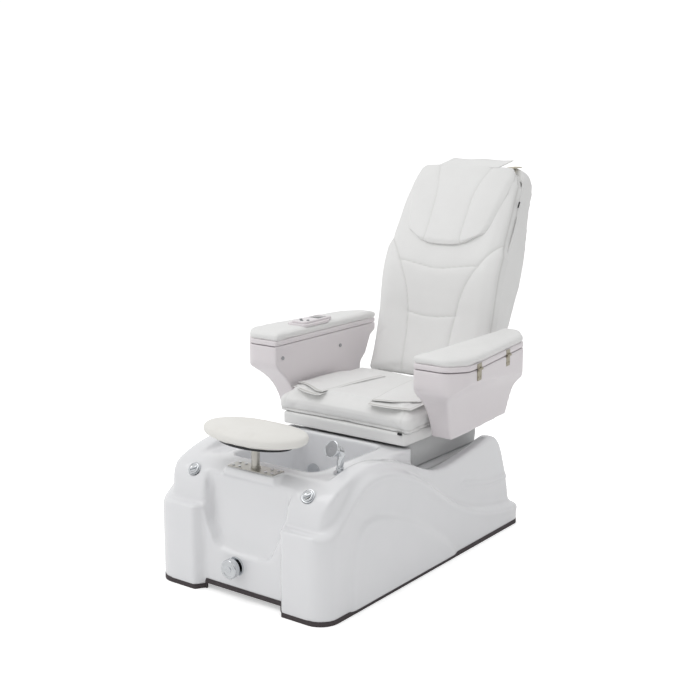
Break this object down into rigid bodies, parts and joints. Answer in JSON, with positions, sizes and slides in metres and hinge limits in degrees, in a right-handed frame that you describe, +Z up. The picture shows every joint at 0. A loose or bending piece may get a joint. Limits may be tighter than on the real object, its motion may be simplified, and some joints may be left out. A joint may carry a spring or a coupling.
{
  "type": "pedicure spa chair",
  "caption": "Pedicure spa chair: moulded foot-bath base, sliding massage seat with reclining back, storage armrests with opening lids, height-adjustable footrest and pull-out hand shower.",
  "frame": {"origin": "on the floor under the middle of the whole chair", "axes": "+Z up, front of the chair towards -Y, sitter's left towards +X"},
  "size_m": [1.0224, 1.5772, 1.438],
  "materials": {
    "gelcoat": "gloss white gelcoat",
    "rubber_trim": "matt charcoal rubber",
    "painted_steel": "powder coated",
    "black_plastic": "moulded, fine texture",
    "grey_plastic": "moulded, satin",
    "chrome": "polished chrome plate",
    "stainless": "brushed",
    "white_vinyl": "satin, fine leather grain",
    "ivory_vinyl": "satin, fine leather grain",
    "grey_vinyl": "satin, fine leather grain",
    "arm_plastic": "semi-gloss moulded",
    "zinc_steel": "zinc plated, passivated",
    "button_rubber": "soft-touch"
  },
  "bodies": {
    "base": {"base_shell": "gelcoat", "base_trim": "rubber_trim", "foot_basin": "gelcoat", "base_frame": "painted_steel", "levelling_feet": "black_plastic", "basin_strainer": "chrome", "drain_pipe": "grey_plastic", "circulation_pump": "black_plastic", "jet_covers": "chrome", "drain_escutcheon": "chrome", "control_bezels": "chrome", "footrest_plate": "stainless", "footrest_screws": "chrome", "footrest_socket": "stainless", "shower_socket": "chrome", "pedestal_cover": "grey_vinyl", "slide_rails": "painted_steel"},
    "seat": {"seat_carriage": "painted_steel", "seat_frame": "painted_steel", "seat_box": "arm_plastic", "seat_cushion": "white_vinyl", "seat_flap_left": "white_vinyl", "seat_flap_right": "white_vinyl", "recline_motor": "black_plastic", "arm_brackets": "painted_steel", "armrest_left": "arm_plastic", "armrest_right": "arm_plastic", "hinge_leaves": "zinc_steel", "hinge_screws": "zinc_steel", "bolt_caps": "grey_plastic"},
    "front_axle": {"front_axle": "zinc_steel"},
    "rear_axle": {"rear_axle": "zinc_steel"},
    "back": {"backrest_frame": "painted_steel", "backrest_shell": "white_vinyl", "backrest_pad": "white_vinyl", "recline_shaft": "zinc_steel", "massage_rails": "zinc_steel", "headrest_pillow": "white_vinyl"},
    "massage_carriage": {"massage_carriage": "painted_steel"},
    "massage_rollers": {"massage_rollers": "black_plastic"},
    "lid_left": {"lid_left": "arm_plastic", "lid_pad_left": "white_vinyl", "hinge_knuckles_left": "zinc_steel"},
    "lid_right": {"lid_right": "arm_plastic", "lid_pad_right": "white_vinyl", "hinge_knuckles_right": "zinc_steel", "remote_holder": "arm_plastic"},
    "remote": {"remote_case": "arm_plastic"},
    "button_power": {"button_power": "button_rubber"},
    "button_recline": {"button_recline": "button_rubber"},
    "button_massage": {"button_massage": "button_rubber"},
    "footrest_post": {"footrest_post": "stainless"},
    "footrest_pad": {"footrest_mount": "black_plastic", "footrest_pad": "ivory_vinyl"},
    "shower": {"shower_handle": "chrome", "shower_face": "grey_plastic", "shower_stem": "chrome"},
    "drain_knob": {"drain_knob": "chrome"},
    "control_cap_left": {"control_cap_left": "chrome"},
    "control_cap_right": {"control_cap_right": "chrome"}
  },
  "joints": [
    {"name": "seat_slide", "type": "slide", "parent": "base", "child": "seat", "axis": [0, -1, 0], "range_m": [-0.06, 0.1]},
    {"name": "front_axle_roll", "type": "hinge", "parent": "seat", "child": "front_axle", "pos_m": [0, 0.03, 0.4113], "axis": [1, 0, 0], "range_deg": [-232, 385]},
    {"name": "rear_axle_roll", "type": "hinge", "parent": "seat", "child": "rear_axle", "pos_m": [0, 0.26, 0.4113], "axis": [1, 0, 0], "range_deg": [-232, 385]},
    {"name": "backrest_recline", "type": "hinge", "parent": "seat", "child": "back", "pos_m": [0, 0.375, 0.52], "axis": [-1, 0, 0], "range_deg": [0, 35]},
    {"name": "massage_travel", "type": "slide", "parent": "back", "child": "massage_carriage", "axis": [0, 0.3349, 0.9423], "range_m": [0, 0.4]},
    {"name": "massage_roll", "type": "hinge", "parent": "massage_carriage", "child": "massage_rollers", "pos_m": [0, 0.47713, 0.72032], "axis": [1, 0, 0], "continuous": true},
    {"name": "lid_left_open", "type": "hinge", "parent": "seat", "child": "lid_left", "pos_m": [0.505, -0.04, 0.7485], "axis": [-0.1291, 0.9916, 0], "range_deg": [0, 95]},
    {"name": "lid_right_open", "type": "hinge", "parent": "seat", "child": "lid_right", "pos_m": [-0.505, -0.04, 0.7485], "axis": [-0.1291, -0.9916, 0], "range_deg": [0, 95]},
    {"name": "remote_lift", "type": "slide", "parent": "lid_right", "child": "remote", "axis": [0, 0, 1], "range_m": [0, 0.06]},
    {"name": "button_power_press", "type": "slide", "parent": "remote", "child": "button_power", "axis": [0, 0, -1], "range_m": [0, 0.0012], "stiffness_N_per_m": 300},
    {"name": "button_recline_press", "type": "slide", "parent": "remote", "child": "button_recline", "axis": [0, 0, -1], "range_m": [0, 0.0012], "stiffness_N_per_m": 300},
    {"name": "button_massage_press", "type": "slide", "parent": "remote", "child": "button_massage", "axis": [0, 0, -1], "range_m": [0, 0.0012], "stiffness_N_per_m": 300},
    {"name": "footrest_height", "type": "slide", "parent": "base", "child": "footrest_post", "axis": [0, 0, 1], "range_m": [-0.015, 0.09]},
    {"name": "footrest_swivel", "type": "hinge", "parent": "footrest_post", "child": "footrest_pad", "pos_m": [0, -0.669, 0.535], "axis": [0, 0, 1], "range_deg": [-90, 90]},
    {"name": "shower_lift", "type": "slide", "parent": "base", "child": "shower", "axis": [0, 0, 1], "range_m": [0, 0.1]},
    {"name": "drain_turn", "type": "hinge", "parent": "base", "child": "drain_knob", "pos_m": [-0.028, -0.79, 0.115], "axis": [0, -1, 0], "range_deg": [-90, 0]},
    {"name": "control_left_turn", "type": "hinge", "parent": "base", "child": "control_cap_left", "pos_m": [0.254, -0.7035, 0.411], "axis": [0, -0.7431, 0.6691], "range_deg": [-90, 90]},
    {"name": "control_right_turn", "type": "hinge", "parent": "base", "child": "control_cap_right", "pos_m": [-0.254, -0.7035, 0.411], "axis": [0, -0.7431, 0.6691], "range_deg": [-90, 90]}
  ],
  "couplings": [
    {"joint": "front_axle_roll", "follows": "seat_slide", "rad_per_m": 66.667},
    {"joint": "rear_axle_roll", "follows": "seat_slide", "rad_per_m": 66.667}
  ]
}
